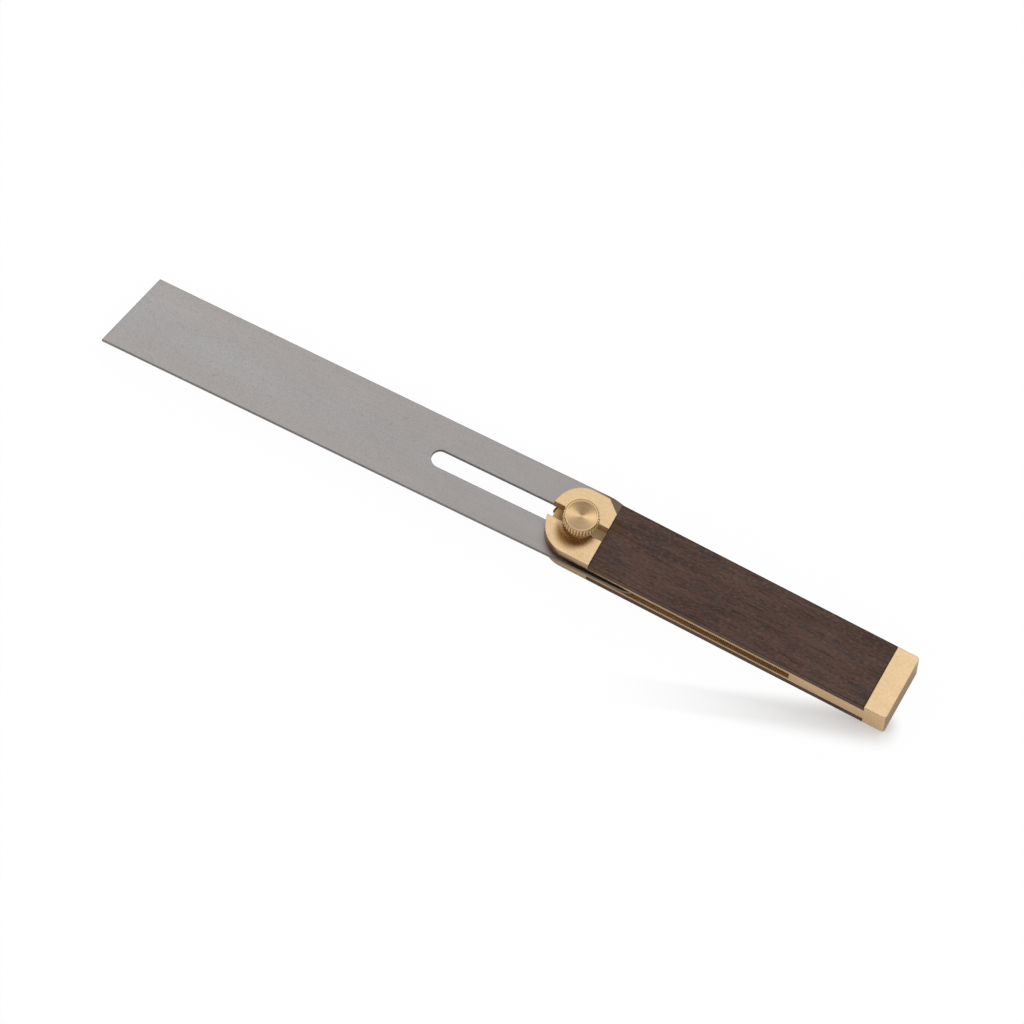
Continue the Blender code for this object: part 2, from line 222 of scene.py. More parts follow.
# Painted shade on the blade's edge faces
STEEL_SIDE_SHADE = (0.420, 0.400, 0.380, 1.0)
STEEL_TAIL_SHADE = (0.150, 0.108, 0.066, 1.0)
STEEL_LINE_FINENESS = 1700.0
STEEL_MOTTLE_FINENESS = 2200.0
STEEL_EDGE_WIDTH = 0.46 * MM
STEEL_EDGE_RANGE = (0.05, 0.60)
STEEL_EDGE_SHARE = 0.80
STEEL_SPECK_SHARE = 0.25
STEEL_ROUGHNESS = (0.30, 0.42)
STEEL_SCRATCH_ROUGHNESS = 0.05
STEEL_SCRATCH_RELIEF = 0.35
STEEL_BUMP = 0.5
STEEL_BUMP_HEIGHT = 0.02 * MM
STEEL_TONES = (
    ("clouds", 0.34, 0.66, 0.24, STEEL_DEEP),
    ("lines", 0.54, 0.36, 0.34, STEEL_DEEP),
    ("lines", 0.48, 0.66, 0.34, STEEL_PALE),
    ("mottle", 0.46, 0.66, 0.55, STEEL_DEEP),
)
BLUE_BAND = (11.5 * MM, 4.5 * MM)
BLUE_BAND_SHARE = 0.85
BLUE_BAND_WANDER = 6.0 * MM
# Painted shade: the blade darker toward the pivot, and darker still behind it, inside the stock
SHADE_TOWARD_PIVOT = (-150.0 * MM, -5.0 * MM)
PIVOT_SHADE_SHARE = 0.42
TAIL_SHADE_FROM_PIVOT = (-3.0 * MM, 5.0 * MM)
TAIL_SHADE_SHARE = 0.85

# Finish of the wood
WOOD_BROWN = (0.102, 0.061, 0.047, 1.0)
WOOD_DARK = (0.040, 0.022, 0.018, 1.0)
WOOD_RED = (0.108, 0.050, 0.038, 1.0)
WOOD_GREY = (0.068, 0.047, 0.043, 1.0)
WOOD_PALE = (0.160, 0.104, 0.080, 1.0)
WOOD_PORE = (0.014, 0.009, 0.008, 1.0)
# Painted shade on the wood's side faces
WOOD_SIDE_SHADE = (0.960, 0.800, 0.680, 1.0)
WOOD_TONES = (
    ("warmth", 0.48, 0.66, 0.80, WOOD_RED),
    ("chill", 0.50, 0.64, 0.70, WOOD_GREY),
    ("bands", 0.54, 0.34, 0.46, WOOD_DARK),
    ("streaks", 0.54, 0.36, 0.44, WOOD_DARK),
    ("fibres", 0.50, 0.34, 0.46, WOOD_DARK),
    ("fibres", 0.50, 0.68, 0.56, WOOD_PALE),
)
WOOD_PORE_RANGE = (0.60, 0.70)
WOOD_PORE_SHARE = 0.34
WOOD_SWAY = 2.6 * MM
WOOD_EDGE_WIDTH = 0.60 * MM
WOOD_EDGE_RANGE = (0.05, 0.50)
WOOD_EDGE_SHARE = 0.95
WOOD_ROUGHNESS = (0.46, 0.62)
WOOD_PORE_ROUGHNESS = 0.25
WOOD_SPECULAR = 0.12
WOOD_FIBRE_RELIEF = 0.3
WOOD_BUMP = 0.5
WOOD_BUMP_HEIGHT = 0.03 * MM
TOP_WOOD_ORIGIN = (13.0 * MM, 4.0 * MM, 2.0 * MM)
TOP_WOOD_TURN = math.radians(0.4)
BOTTOM_WOOD_ORIGIN = (-171.0 * MM, 37.0 * MM, 21.0 * MM)
BOTTOM_WOOD_TURN = math.radians(-0.6)

# Noise drawn out along the grain: how far it is drawn out (1 is not at all), fineness, detail, roughness
WOOD_STREAKS = (0.065, 1100.0, 4.0, 0.62)
WOOD_FIBRES = (0.28, 2500.0, 3.0, 0.65)
WOOD_BANDS = (0.12, 260.0, 5.0, 0.65)
WOOD_WARMTH = (0.25, 300.0, 5.0, 0.70)
WOOD_CHILL = (0.35, 260.0, 4.0, 0.65)
WOOD_DASHES = (0.09, 1500.0, 2.0, 0.50)
WOOD_DRIFT = (0.35, 85.0, 3.0, 0.50)
WOOD_STREAK_BEND = 0.3
GROUND_CLOUDS = (0.45, 90.0, 4.0, 0.55)
SCRATCH_HAIR = (0.03, 2200.0, 1.0, 0.40)
SCRATCH_BEND = 0.2
SCRATCH_DEGREES = (12.0, 58.0, 131.0)
SCRATCH_PATCHES = 130.0
SCRATCH_RANGE = (0.69, 0.75)
PATCH_RANGE = (0.52, 0.66)
SPECK_RANGE = (0.66, 0.78)
MIDDLE_HALF = (0.25, 0.75)

# The other noise patterns: detail and roughness, which in the specks' pattern follow the fineness
FINE_NOISE = (2.0, 0.6)
SOFT_NOISE = (3.0, 0.6)
PATCH_NOISE = (1.0, 0.5)
SPECK_NOISE = (1500.0, 2.0, 0.7)
BLUSH_FINENESS = 160.0
RING_DETAIL = 3.0
RING_ROUGHNESS = 0.65

# Lines left by grinding: scale along and across them, and the long lines' part of the whole
LONG_LINES = (0.012, 1.0)
SHORT_LINES = (0.05, 2.7)
LONG_LINES_SHARE = 0.55
MOTTLE_STRETCH = 0.8

# Handled edges: where the rounded normal leaves the real one, and how they are broken up
EDGE_SAMPLES = 6
EDGE_ALIKE = (0.995, 0.86)
EDGE_BREAK_FINENESS = 700.0
EDGE_BREAK = (0.30, 0.62)
EDGE_BREAK_LEAST = 0.35

# Faces told apart by their normal: sides by its part along Z, the butt end by its part along X
SIDE_FACING = (0.75, 0.25)
END_FACING = (0.55, 0.90)

# Camera, fitted to the lines of the photograph
SIGHT_POINT = Vector((-70.402 * MM, -4.294 * MM, 4.554 * MM))
CAMERA_AZIMUTH = math.radians(20.227)
CAMERA_ELEVATION = math.radians(69.698)
CAMERA_ROLL = math.radians(8.154)
CAMERA_DISTANCE = 8.8908
CLIP_RANGE = 10.0
SENSOR_WIDTH = 36.0
LENS = 1037.4

# Floor
FLOOR_SIZE = 30.0
FLOOR_COLOR = (0.95, 0.95, 0.95, 1.0)
PURE_WHITE = (1.0, 1.0, 1.0, 1.0)
GLOW_WHITE = 1.0
FLOOR_GLOW_FAR = 0.97
FLOOR_GLOW_IN_SHADOW = 0.05
FLOOR_GLOW_IN_METAL = 0.10
# Painted shadow: the streak's place and shape on the floor are given here, and in it the floor's glow is held
# back so its own shading shows
SHADOW_FROM = Vector((57.6 * MM, -10.7 * MM, 0.0))
SHADOW_TO = Vector((-24.7 * MM, -40.0 * MM, 0.0))
SHADOW_REACH = (1.2 * MM, 8.4 * MM)
SHADOW_NARROWS = 0.55
SHADOW_FADES = (0.15, 1.0)

# Light
DOME_BRIGHT = 1.145
DOME_SOFT = 0.92
DOME_TURN = math.radians(15.0)
DOME_RISE = (0.02, 0.22)
DOME_SETS = (0.38, 0.60)
DOME_FALL = 0.32
DOME_BACK = (-0.35, -0.80)
DOME_DARK = (0.085, 0.040, 0.016, 1.0)
DOME_BEHIND = (0.520, 0.500, 0.470, 1.0)
LAMP_POWER = 0.16
LAMP_SIZE = (0.95, 0.36)
LAMP_PLACE = Vector((-0.55, 0.36, 1.02))
SIDE_LAMP_POWER = 0.4
SIDE_LAMP_SIZE = (0.5, 0.5)
SIDE_LAMP_PLACE = Vector((-0.75, -0.62, 0.70))

# Kinds of socket on a shader group
FLOAT = "NodeSocketFloat"
COLOR = "NodeSocketColor"
VECTOR = "NodeSocketVector"


def select_only(piece):
    """Makes one piece the only one selected, and the active one."""
    bpy.ops.object.select_all(action="DESELECT")
    piece.select_set(True)
    bpy.context.view_layer.objects.active = piece


def pick_faces(piece, test):
    """Selects the faces that a test of a face accepts. The piece is in edit mode."""
    work = bmesh.from_edit_mesh(piece.data)
    for face in work.faces:
        face.select_set(False)
    for face in work.faces:
        if test(face):
            face.select_set(True)
    bmesh.update_edit_mesh(piece.data)


def pick_edges(piece, test):
    """Selects the edges that a test of an edge accepts. The piece is in edit mode."""
    work = bmesh.from_edit_mesh(piece.data)
    for edge in work.edges:
        edge.select_set(False)
    for edge in work.edges:
        if test(edge):
            edge.select_set(True)
    bmesh.update_edit_mesh(piece.data)


def apply_modifier(piece, kind, **settings):
    """Adds a modifier and applies it."""
    select_only(piece)
    modifier = piece.modifiers.new(kind.title(), kind)
    for name, value in settings.items():
        setattr(modifier, name, value)
    bpy.ops.object.modifier_apply(modifier=modifier.name)


def ease_edges(piece, width):
    """Rounds the sharp edges a little and shades the flats flat."""
    apply_modifier(
        piece, "BEVEL", width=width, segments=EDGE_SEGMENTS, limit_method="ANGLE", angle_limit=EASED_ANGLE
    )
    piece.data.shade_smooth()
    apply_modifier(piece, "WEIGHTED_NORMAL", mode="FACE_AREA", weight=FLAT_NORMAL_WEIGHT)


def finished_copy(node, name, width):
    """A copy of a CAD node with its triangles joined to clean flats and its edges eased."""
    piece = bpy.data.objects.new(name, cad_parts[node].data.copy())
    bpy.context.scene.collection.objects.link(piece)
    piece.data.materials.clear()
    select_only(piece)
    bpy.ops.object.mode_set(mode="EDIT")
    bpy.ops.mesh.select_all(action="SELECT")
    bpy.ops.mesh.remove_doubles(threshold=MERGE_DISTANCE)
    bpy.ops.mesh.dissolve_limited(angle_limit=FLAT_ANGLE)
    bpy.ops.mesh.customdata_custom_splitnormals_clear()
    bpy.ops.object.mode_set(mode="OBJECT")
    ease_edges(piece, width)
    return piece


def add_round(name, radius, low_z, high_z, steps):
    """A cylinder on the pivot's axis between two heights."""
    bpy.ops.object.select_all(action="DESELECT")
    middle = (PIVOT.x, PIVOT.y, (low_z + high_z) / 2)
    bpy.ops.mesh.primitive_cylinder_add(vertices=steps, radius=radius, depth=high_z - low_z, location=middle)
    piece = bpy.context.active_object
    piece.name = name
    bpy.ops.object.transform_apply(location=True, rotation=True, scale=True)
    return piece


def off_axis(point):
    """A point's distance from the pivot's axis, and its angle about it."""
    reach = Vector((point.x - PIVOT.x, point.y - PIVOT.y))
    return reach.length, math.atan2(reach.y, reach.x)


def pull_in(vertex, reach, groove):
    """Moves a vertex, which lies a reach away from the pivot's axis, towards it by the depth of a groove."""
    share = (reach - groove) / reach
    vertex.co.x = PIVOT.x + (vertex.co.x - PIVOT.x) * share
    vertex.co.y = PIVOT.y + (vertex.co.y - PIVOT.y) * share


def cut_ribs(nut, radius):
    """Presses the straight ribs into the nut's wall; the grooves run out in its chamfers."""
    work = bmesh.from_edit_mesh(nut.data)
    middle_z = (nut_low.z + nut_high.z) / 2
    top_slope = CHAMFER_HEIGHT / CHAMFER_WIDTH
    for vertex in work.verts:
        reach, angle = off_axis(vertex.co)
        if reach < radius - MERGE_DISTANCE:
            continue
        groove = RIB_DEPTH * (0.5 - 0.5 * math.cos(RIB_COUNT * angle))
        pull_in(vertex, reach, groove)
        vertex.co.z += groove * top_slope if vertex.co.z > middle_z else -groove
    bmesh.update_edit_mesh(nut.data)


def make_thumb_nut():
    """The knurled nut: ribbed wall, chamfer, flat rim and a turned dish that runs to a centre mark."""
    radius = (nut_high.x - nut_low.x) / 2
    wall_low = nut_low.z + NUT_FOOT_CHAMFER
    wall_high = nut_high.z - RIM_DROP
    nut = add_round("knurled_thumb_nut", radius, wall_low, wall_high, RIB_COUNT * RIB_STEPS)
    bpy.ops.object.mode_set(mode="EDIT")
    pick_faces(nut, lambda face: face.normal.z > LEVEL)
    bpy.ops.mesh.inset(thickness=CHAMFER_WIDTH, depth=CHAMFER_HEIGHT)
    bpy.ops.mesh.inset(thickness=RIM_GROOVE_WIDTH, depth=-RIM_GROOVE_DEPTH)
    bpy.ops.mesh.inset(thickness=RIM_GROOVE_WIDTH, depth=RIM_LIFT)
    rim_width = radius - CHAMFER_WIDTH - RIM_GROOVE_WIDTH * 2 - DISH_RADIUS
    bpy.ops.mesh.inset(thickness=rim_width, depth=0)
    bpy.ops.mesh.inset(thickness=DISH_STEP, depth=-DISH_STEP)
    ring = (DISH_RADIUS - DISH_STEP - CENTER_MARK_RADIUS) / DISH_RINGS
    for _ in range(DISH_RINGS):
        bpy.ops.mesh.inset(thickness=ring, depth=-DISH_DEPTH / DISH_RINGS)
    pick_faces(nut, lambda face: face.normal.z < -LEVEL)
    bpy.ops.mesh.inset(thickness=NUT_FOOT_CHAMFER, depth=NUT_FOOT_CHAMFER)
    bpy.ops.mesh.inset(thickness=radius - NUT_FOOT_CHAMFER - NUT_HOLE_RADIUS, depth=0)
    bpy.ops.mesh.inset(thickness=MERGE_DISTANCE, depth=-NUT_HOLE_DEPTH)
    cut_ribs(nut, radius)
    bpy.ops.object.mode_set(mode="OBJECT")
    select_only(nut)
    bpy.ops.object.shade_smooth_by_angle(angle=NUT_SMOOTH_ANGLE)
    return nut


def make_washer(node, name):
    """A flat turned washer with its hole, its edges eased."""
    low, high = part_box(node)
    outer = (high.x - low.x) / 2
    washer = add_round(name, outer, low.z, high.z, WASHER_STEPS)
    bpy.ops.object.mode_set(mode="EDIT")
    pick_faces(washer, lambda face: abs(face.normal.z) > LEVEL)
    bpy.ops.mesh.inset(thickness=outer - WASHER_HOLE_RADIUS, depth=0)
    bpy.ops.mesh.bridge_edge_loops()
    bpy.ops.object.mode_set(mode="OBJECT")
    ease_edges(washer, WASHER_EDGE)
    return washer


def make_bolt():
    """The clamp bolt: an eased square head and a shank that is threaded above the blade."""
    low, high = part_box("clamp_bolt")
    head_high = low.z + HEAD_HEIGHT
    shank = add_round("shank", SHANK_RADIUS, low.z + HEAD_HEIGHT / 2, high.z, SHANK_STEPS)
    bpy.ops.object.mode_set(mode="EDIT")
    pick_faces(shank, lambda face: face.normal.z > LEVEL)
    bpy.ops.mesh.bevel(offset=SHANK_END_CHAMFER, segments=1, affect="EDGES")
    pick_edges(shank, lambda edge: abs((edge.verts[0].co - edge.verts[1].co).z) > HEAD_HEIGHT)
    rows = round((high.z - head_high) / THREAD_PITCH * THREAD_ROWS)
    bpy.ops.mesh.subdivide(number_cuts=rows)
    cut_thread(shank, high.z - SHANK_END_CHAMFER)
    bpy.ops.object.mode_set(mode="OBJECT")
    bpy.ops.object.select_all(action="DESELECT")
    middle = (PIVOT.x, PIVOT.y, (low.z + head_high) / 2)
    bpy.ops.mesh.primitive_cube_add(size=1, location=middle, scale=(HEAD_WIDTH, HEAD_WIDTH, HEAD_HEIGHT))
    bolt = bpy.context.active_object
    bolt.name = "threaded_clamp_bolt"
    bpy.ops.object.transform_apply(location=True, rotation=True, scale=True)
    bpy.ops.object.mode_set(mode="EDIT")
    bpy.ops.mesh.select_all(action="SELECT")
    bpy.ops.mesh.bevel(offset=HEAD_EDGE, segments=HEAD_EDGE_SEGMENTS, affect="EDGES")
    bpy.ops.object.mode_set(mode="OBJECT")
    apply_modifier(bolt, "BOOLEAN", operation="UNION", solver="EXACT", object=shank)
    bpy.data.objects.remove(shank, do_unlink=True)
    select_only(bolt)
    bpy.ops.object.shade_smooth_by_angle(angle=BOLT_SMOOTH_ANGLE)
    return bolt


def cut_thread(shank, thread_end):
    """Winds a groove up the shank from above the blade to the end chamfer."""
    work = bmesh.from_edit_mesh(shank.data)
    for vertex in work.verts:
        if not THREAD_START < vertex.co.z < thread_end - MERGE_DISTANCE:
            continue
        reach, angle = off_axis(vertex.co)
        turn = (vertex.co.z / THREAD_PITCH - angle / (2 * math.pi)) % 1.0
        pull_in(vertex, reach, THREAD_DEPTH * (1.0 - abs(2.0 * turn - 1.0)))
    bmesh.update_edit_mesh(shank.data)

def put(tree, kind, sockets=None, **settings):
    """Adds a shader node. A socket's value is a number, a colour or another node's output."""
    node = tree.nodes.new(kind)
    for name, value in settings.items():
        setattr(node, name, value)
    for socket, value in (sockets or {}).items():
        if isinstance(value, bpy.types.NodeSocket):
            tree.links.new(value, node.inputs[socket])
        else:
            node.inputs[socket].default_value = value
    return node


def math_of(tree, operation, first, second=0.0):
    """The output of one Math node."""
    return put(tree, "ShaderNodeMath", {0: first, 1: second}, operation=operation).outputs[0]


def times(tree, first, second):
    """Two values multiplied."""
    return math_of(tree, "MULTIPLY", first, second)


def rest_of(tree, value):
    """What a share leaves of the whole."""
    return math_of(tree, "SUBTRACT", 1.0, value)


def vector_math(tree, operation, sockets):
    """The outputs of one Vector Math node: its vector, and its value under the name Value."""
    return put(tree, "ShaderNodeVectorMath", sockets, operation=operation).outputs


def axes_of(tree, vector):
    """A vector's three parts, named X, Y and Z."""
    return put(tree, "ShaderNodeSeparateXYZ", {0: vector}).outputs


def spread(tree, value, low, high, to_low=0.0, to_high=1.0):
    """A value's range mapped to another, held at its ends."""
    sockets = {"Value": value, "From Min": low, "From Max": high, "To Min": to_low, "To Max": to_high}
    return put(tree, "ShaderNodeMapRange", sockets, interpolation_type="SMOOTHSTEP").outputs[0]


def between(tree, factor, first, second):
    """A value between two values."""
    return put(tree, "ShaderNodeMix", {0: factor, 2: first, 3: second}, data_type="FLOAT").outputs[0]


def blend(tree, factor, first, second, mode="MIX"):
    """Two colours mixed."""
    node = put(tree, "ShaderNodeMix", {0: factor, 6: first, 7: second}, data_type="RGBA", blend_type=mode)
    return node.outputs[2]


def darkened(tree, color, tone):
    """A colour multiplied by a tone."""
    return blend(tree, 1.0, color, tone, "MULTIPLY")


def stained(tree, color, mask, share, tone):
    """A colour that goes over to a tone by a share of a mask."""
    return blend(tree, times(tree, mask, share), color, tone)


def layered(tree, color, patterns, tones):
    """A base colour with tones laid over it, each where its pattern's value is in the tone's range."""
    for pattern, low, high, share, tone in tones:
        color = blend(tree, spread(tree, patterns[pattern], low, high, 0.0, share), color, tone)
    return color


def noise(tree, vector, scale, detail, roughness, distortion=0.0):
    """The value of a noise texture."""
    sockets = {
        "Vector": vector, "Scale": scale, "Detail": detail, "Roughness": roughness, "Distortion": distortion
    }
    return put(tree, "ShaderNodeTexNoise", sockets).outputs[0]


def stretched(tree, vector, along, across):
    """A vector scaled unlike along X and across it."""
    return vector_math(tree, "MULTIPLY", {0: vector, 1: (along, across, across)})[0]


def drawn_noise(tree, vector, along, scale, detail, roughness, distortion=0.0):
    """Noise drawn out along X."""
    return noise(tree, stretched(tree, vector, along, 1.0), scale, detail, roughness, distortion)


def new_group(name, inputs, outputs):
    """A shader node group with its inputs and outputs; gives the tree, its entry and its exit."""
    group = bpy.data.node_groups.new(name, "ShaderNodeTree")
    for label, (kind, value) in inputs.items():
        socket = group.interface.new_socket(label, in_out="INPUT", socket_type=kind)
        if value is not None:
            socket.default_value = value
    for label, kind in outputs.items():
        group.interface.new_socket(label, in_out="OUTPUT", socket_type=kind)
    entry = group.nodes.new("NodeGroupInput").outputs
    leave = group.nodes.new("NodeGroupOutput").inputs
    return group, entry, leave


def make_grain_group():
    """Fine lines left by grinding along X, with soft clouds under them."""
    inputs = {"Vector": (VECTOR, None), "Fineness": (FLOAT, STEEL_LINE_FINENESS)}
    group, entry, leave = new_group("Ground lines", inputs, {"Lines": FLOAT, "Clouds": FLOAT})
    long_lines = stretched(group, entry["Vector"], *LONG_LINES)
    short_lines = stretched(group, entry["Vector"], *SHORT_LINES)
    first = noise(group, long_lines, entry["Fineness"], *FINE_NOISE)
    second = noise(group, short_lines, entry["Fineness"], *FINE_NOISE)
    first = times(group, first, LONG_LINES_SHARE)
    second = times(group, second, 1.0 - LONG_LINES_SHARE)
    group.links.new(math_of(group, "ADD", first, second), leave["Lines"])
    group.links.new(drawn_noise(group, entry["Vector"], *GROUND_CLOUDS), leave["Clouds"])
    return group


def make_mottle_group():
    """Fine even mottling, as on metal rubbed with a soft abrasive, and a broad blush."""
    inputs = {"Vector": (VECTOR, None), "Fineness": (FLOAT, BRASS_MOTTLE_FINENESS)}
    group, entry, leave = new_group("Fine mottle", inputs, {"Mottle": FLOAT, "Blush": FLOAT})
    fine = drawn_noise(group, entry["Vector"], MOTTLE_STRETCH, entry["Fineness"], *FINE_NOISE)
    group.links.new(fine, leave["Mottle"])
    group.links.new(noise(group, entry["Vector"], BLUSH_FINENESS, *SOFT_NOISE), leave["Blush"])
    return group


def make_edge_group():
    """Where an edge is handled, broken up so that it isn't an even line."""
    inputs = {"Vector": (VECTOR, None), "Width": (FLOAT, BRASS_EDGE_WIDTH)}
    group, entry, leave = new_group("Handled edges", inputs, {"Edge": FLOAT})
    rounded = put(group, "ShaderNodeBevel", {"Radius": entry["Width"]}, samples=EDGE_SAMPLES).outputs[0]
    facing = put(group, "ShaderNodeNewGeometry").outputs["Normal"]
    alike = vector_math(group, "DOT_PRODUCT", {0: rounded, 1: facing})["Value"]
    edge = spread(group, alike, *EDGE_ALIKE)
    patches = noise(group, entry["Vector"], EDGE_BREAK_FINENESS, *SOFT_NOISE)
    broken = spread(group, patches, *EDGE_BREAK, EDGE_BREAK_LEAST, 1.0)
    group.links.new(times(group, edge, broken), leave["Edge"])
    return group


def make_marks_group():
    """Light handling scratches that run all ways, and small specks."""
    inputs = {"Vector": (VECTOR, None)}
    group, entry, leave = new_group("Handling marks", inputs, {"Scratches": FLOAT, "Specks": FLOAT})
    found = None
    for degrees in SCRATCH_DEGREES:
        turn = {"Vector": entry["Vector"], "Axis": (0.0, 0.0, 1.0), "Angle": math.radians(degrees)}
        turned = put(group, "ShaderNodeVectorRotate", turn).outputs[0]
        hair = drawn_noise(group, turned, *SCRATCH_HAIR, SCRATCH_BEND)
        patch = noise(group, turned, SCRATCH_PATCHES + degrees, *PATCH_NOISE)
        line = times(group, spread(group, hair, *SCRATCH_RANGE), spread(group, patch, *PATCH_RANGE))
        found = line if found is None else math_of(group, "MAXIMUM", found, line)
    group.links.new(found, leave["Scratches"])
    specks = spread(group, noise(group, entry["Vector"], *SPECK_NOISE), *SPECK_RANGE)
    group.links.new(specks, leave["Specks"])
    return group


def make_rings_group():
    """Turning lines round the Z axis of the vector."""
    inputs = {"Vector": (VECTOR, None), "Fineness": (FLOAT, DISH_FINENESS)}
    group, entry, leave = new_group("Turning lines", inputs, {"Rings": FLOAT, "Radius": FLOAT})
    flat = vector_math(group, "MULTIPLY", {0: entry["Vector"], 1: (1.0, 1.0, 0.0)})[0]
    radius = vector_math(group, "LENGTH", {0: flat})["Value"]
    along = math_of(group, "ADD", radius, axes_of(group, entry["Vector"])["Z"])
    sockets = {"W": along, "Scale": entry["Fineness"], "Detail": RING_DETAIL, "Roughness": RING_ROUGHNESS}
    lines = put(group, "ShaderNodeTexNoise", sockets, noise_dimensions="1D")
    group.links.new(lines.outputs[0], leave["Rings"])
    group.links.new(radius, leave["Radius"])
    return group


def make_wood_group():
    """Dark, close, straight-grained wood: streaks, broad bands, open pores and warmer patches."""
    outputs = {"Color": COLOR, "Pores": FLOAT, "Fibres": FLOAT}
    group, entry, leave = new_group("Dark straight grain", {"Vector": (VECTOR, None)}, outputs)
    drift = times(group, drawn_noise(group, entry["Vector"], *WOOD_DRIFT), WOOD_SWAY)
    sway = put(group, "ShaderNodeCombineXYZ", {1: drift}).outputs[0]
    bent = vector_math(group, "ADD", {0: entry["Vector"], 1: sway})[0]
    patterns = {
        "streaks": drawn_noise(group, bent, *WOOD_STREAKS, WOOD_STREAK_BEND),
        "fibres": drawn_noise(group, bent, *WOOD_FIBRES),
        "bands": drawn_noise(group, bent, *WOOD_BANDS),
        "warmth": drawn_noise(group, bent, *WOOD_WARMTH),
        "chill": drawn_noise(group, bent, *WOOD_CHILL),
    }
    pores = spread(group, drawn_noise(group, bent, *WOOD_DASHES), *WOOD_PORE_RANGE)
    tone = layered(group, WOOD_BROWN, patterns, WOOD_TONES)
    group.links.new(stained(group, tone, pores, WOOD_PORE_SHARE, WOOD_PORE), leave["Color"])
    group.links.new(pores, leave["Pores"])
    group.links.new(patterns["fibres"], leave["Fibres"])
    return group


def make_sides_group():
    """How far a face leans away from the broad flats: its sides, and its butt end."""
    group, _, leave = new_group("Side faces", {}, {"Side": FLOAT, "End": FLOAT})
    axes = axes_of(group, put(group, "ShaderNodeTexCoord").outputs["Normal"])
    upright = math_of(group, "ABSOLUTE", axes["Z"])
    group.links.new(spread(group, upright, *SIDE_FACING), leave["Side"])
    group.links.new(spread(group, axes["X"], *END_FACING), leave["End"])
    return group


def place_group(tree, group, **sockets):
    """Puts a group in a material with its own values; gives its outputs."""
    node = tree.nodes.new("ShaderNodeGroup")
    node.node_tree = group
    for name, value in sockets.items():
        if isinstance(value, bpy.types.NodeSocket):
            tree.links.new(value, node.inputs[name])
        else:
            node.inputs[name].default_value = value
    return node.outputs


def new_material(name, metallic, origin=(0.0, 0.0, 0.0), turn=0.0):
    """A material with its shader, and object coordinates centred and turned on its piece."""
    material = bpy.data.materials.new(name)
    material.use_nodes = True
    tree = material.node_tree
    shader = tree.nodes["Principled BSDF"]
    shader.inputs["Metallic"].default_value = metallic
    place = put(tree, "ShaderNodeTexCoord").outputs["Object"]
    sockets = {"Vector": place, "Location": origin, "Rotation": (0.0, 0.0, turn)}
    mapping = put(tree, "ShaderNodeMapping", sockets, vector_type="TEXTURE")
    return material, tree, shader, mapping.outputs[0]


def join(tree, shader, name, value):
    """Links a value to one of the shader's sockets."""
    tree.links.new(value, shader.inputs[name])


def add_relief(tree, shader, height, strength, distance):
    """Gives a material fine relief."""
    bump = put(tree, "ShaderNodeBump", {"Height": height, "Strength": strength, "Distance": distance})
    join(tree, shader, "Normal", bump.outputs[0])


def paint_side_shade(tree, faces, axes, color):
    """Painted shade, a little on the ears' end, then on the sides and butt end; gives the colour before the
    sides' and end's shade and the one with it.
    """
    wear_and_shade = spread(tree, axes["X"], *EARS_SHADE_X)
    color = blend(tree, wear_and_shade, color, darkened(tree, color, EARS_SHADE_PAINT))
    less_side_shade = times(tree, spread(tree, axes["X"], *SIDE_SHADE_FADES_X), SIDE_SHADE_FADES_BY)
    side = times(tree, faces["Side"], rest_of(tree, less_side_shade))
    toned = blend(tree, side, color, darkened(tree, color, SIDE_SHADE_PAINT))
    return color, blend(tree, faces["End"], toned, darkened(tree, color, END_SHADE_PAINT))


def find_milled(tree, faces, axes):
    """Where the cutter went: the walls of the notch in the ears, and the level faces in the long slot."""
    aside = math_of(tree, "ABSOLUTE", axes["Y"])
    in_notch = times(tree, spread(tree, aside, *NOTCH_Y), faces["Side"])
    in_notch = times(tree, in_notch, spread(tree, axes["X"], *NOTCH_X))
    off_middle = math_of(tree, "ABSOLUTE", math_of(tree, "SUBTRACT", axes["Z"], STOCK_TOP / 2))
    in_slot = times(tree, spread(tree, off_middle, *SLOT_Z), rest_of(tree, faces["Side"]))
    return in_notch, in_slot


def tone_milled(tree, place, axes, color, toned, in_notch, in_slot):
    """Painted shade in the notch, most of it at the open end, and in the slot, in patches and along the
    cutter's marks.
    """
    behind_nut = spread(tree, axes["X"], *NOTCH_SHADE_FADES_X)
    shaded = darkened(tree, color, blend(tree, behind_nut, NOTCH_SHADE_PAINT, NOTCH_SHADE_BEHIND_NUT))
    # Painted shade in the notch, fading behind the nut
    toned = blend(tree, in_notch, toned, shaded)
    feed = math_of(tree, "SINE", times(tree, axes["X"], 2 * math.pi / CUTTER_FEED))
    patchy = noise(tree, place, CUTTER_PATCHES, *SOFT_NOISE)
    cuts = math_of(tree, "ADD", times(tree, feed, CUTTER_SHARE), patchy)
    shaded = blend(tree, spread(tree, cuts, *CUTTER_RANGE), SLOT_SHADE_DEEP, SLOT_SHADE_PAINT)
    return blend(tree, in_slot, toned, darkened(tree, color, shaded))


def painted_nut_shadow(tree, place):
    """Where a shadow of the nut is painted on the ear, round its near side."""
    from_axis = vector_math(tree, "DISTANCE", {0: place, 1: (PIVOT.x, PIVOT.y, STOCK_TOP)})["Value"]
    from_patch = vector_math(tree, "DISTANCE", {0: place, 1: NUT_SHADOW_CENTER})["Value"]
    round_nut = spread(tree, from_axis, *NUT_SHADOW_RING, NUT_SHADOW_RING_SHARE, 1.0)
    return times(tree, round_nut, spread(tree, from_patch, *NUT_SHADOW_PATCH))


